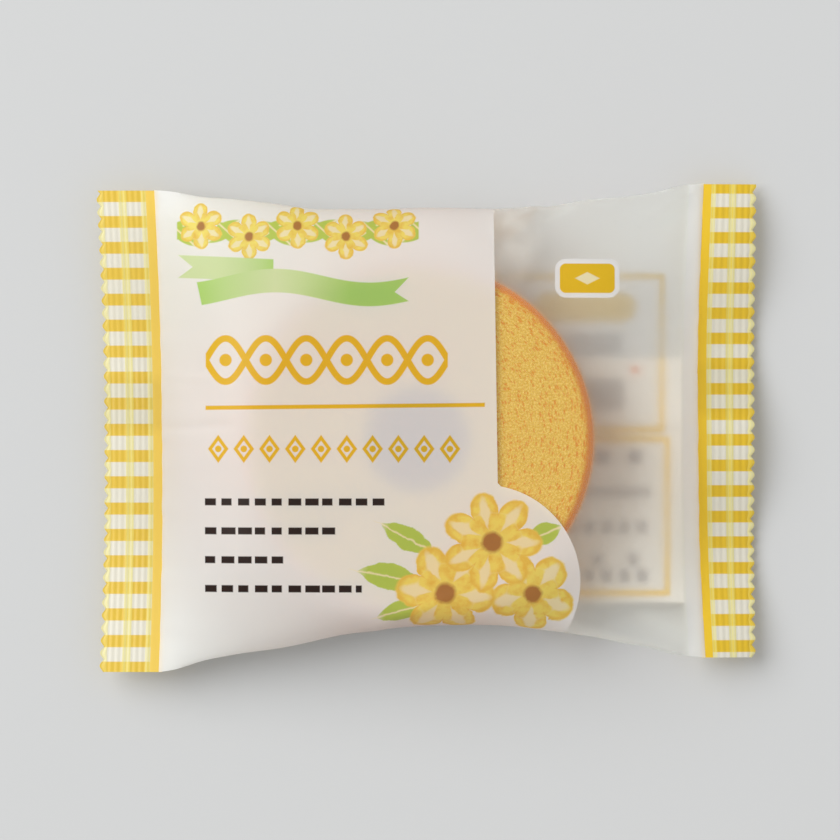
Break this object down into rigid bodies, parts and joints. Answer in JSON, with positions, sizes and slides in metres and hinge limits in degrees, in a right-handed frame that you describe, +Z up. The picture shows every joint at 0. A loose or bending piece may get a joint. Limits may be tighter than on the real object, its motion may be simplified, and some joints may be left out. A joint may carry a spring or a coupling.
{
  "type": "packed baumkuchen",
  "caption": "Ring cake sealed in a flow-wrapped film pack with ribbed, zigzag-cut end seals; it lies flat.",
  "frame": {"origin": "middle of the pack's footprint, on the surface that it lies on", "axes": "+X along the pack from the left seal to the right seal, +Y across the pack to its far side, +Z up, out of the printed front"},
  "size_m": [0.1599, 0.119, 0.025],
  "materials": {
    "film": "matte frosted film, partly printed white and yellow"
  },
  "bodies": {
    "root": {"film_pack": "film"}
  },
  "joints": []
}
